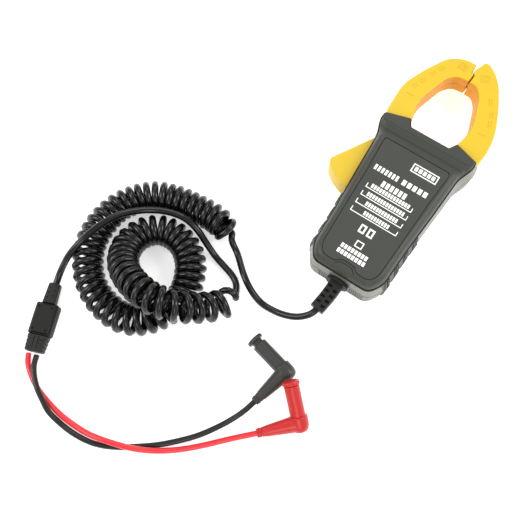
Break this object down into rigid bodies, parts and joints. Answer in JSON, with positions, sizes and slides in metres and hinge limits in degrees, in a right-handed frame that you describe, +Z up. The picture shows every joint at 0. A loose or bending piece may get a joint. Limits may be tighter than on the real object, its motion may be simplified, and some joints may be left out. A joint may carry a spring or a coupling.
{
  "type": "current clamp",
  "caption": "Clip-on AC current clamp with sprung split-core jaws, side trigger, curly output cord, split box and two right-angle plug leads",
  "frame": {"origin": "on the ground under the middle of the case, jaws, trigger and strain relief; the clamp lies on its back", "axes": "+Y from the case towards the jaws, +Z up out of the label, +X to the right of the label"},
  "size_m": [0.1922, 0.3452, 0.0428],
  "materials": {
    "case_plastic": "fine matt texture",
    "label_plastic": "smooth matt panel",
    "label_ink": "white screen print",
    "jaw_plastic": "satin moulded yellow",
    "steel": "plain zinc-plated",
    "core_steel": "stacked laminations",
    "bobbin_nylon": "natural nylon",
    "copper": "enamelled copper wire",
    "board": "coated glass-epoxy board",
    "resistor_ceramic": "smooth coated body",
    "cord_rubber": "smooth glossy black sheath",
    "box_plastic": "satin black",
    "red_lead": "smooth red sheath",
    "black_plug": "satin black moulding",
    "red_plug": "satin red moulding",
    "pin_metal": "plated spring pin"
  },
  "bodies": {
    "case": {"front_cover": "case_plastic", "back_cover": "case_plastic", "front_label": "label_plastic", "case_screw_1": "steel", "case_screw_2": "steel", "case_screw_3": "steel", "case_screw_4": "steel", "strain_relief": "cord_rubber", "fixed_jaw_front": "jaw_plastic", "fixed_jaw_back": "jaw_plastic", "fixed_core": "core_steel", "pivot_pin": "steel", "return_spring": "steel", "coil_bobbin": "bobbin_nylon", "coil_winding": "copper", "circuit_board": "board", "burden_resistor": "resistor_ceramic", "limiter_diode": "cord_rubber", "coil_wire_left": "copper", "coil_wire_right": "copper", "output_wire_red": "red_lead", "output_wire_black": "cord_rubber", "case_cord": "cord_rubber", "curly_cord": "cord_rubber", "box_cord": "cord_rubber", "split_box_top": "box_plastic", "split_box_bottom": "box_plastic", "split_box_cord_boot": "cord_rubber", "split_box_lead_boot": "cord_rubber", "red_splice": "red_plug", "black_splice": "cord_rubber", "black_lead": "cord_rubber", "red_lead": "red_lead", "black_plug_body": "black_plug", "black_plug_pin": "pin_metal", "red_plug_body": "red_plug", "red_plug_pin": "pin_metal"},
    "jaw_lever": {"moving_jaw_front": "jaw_plastic", "moving_jaw_back": "jaw_plastic", "moving_core": "core_steel", "trigger": "jaw_plastic"},
    "black_cap": {"black_plug_cap": "black_plug"},
    "red_cap": {"red_plug_cap": "red_plug"}
  },
  "joints": [
    {"name": "jaw_hinge", "type": "hinge", "parent": "case", "child": "jaw_lever", "pos_m": [-0.0155, 0.0139, 0.0173], "axis": [0, 0, 1], "range_deg": [0, 22], "stiffness_Nm_per_rad": 2, "springref_deg": -20.05, "deforming": ["return_spring"]},
    {"name": "black_cap_slide", "type": "slide", "parent": "case", "child": "black_cap", "axis": [-0.9733, 0.2295, 0], "range_m": [-0.0023, 0.009]},
    {"name": "red_cap_slide", "type": "slide", "parent": "case", "child": "red_cap", "axis": [-0.6708, 0.6396, 0.3756], "range_m": [0, 0.01]}
  ]
}
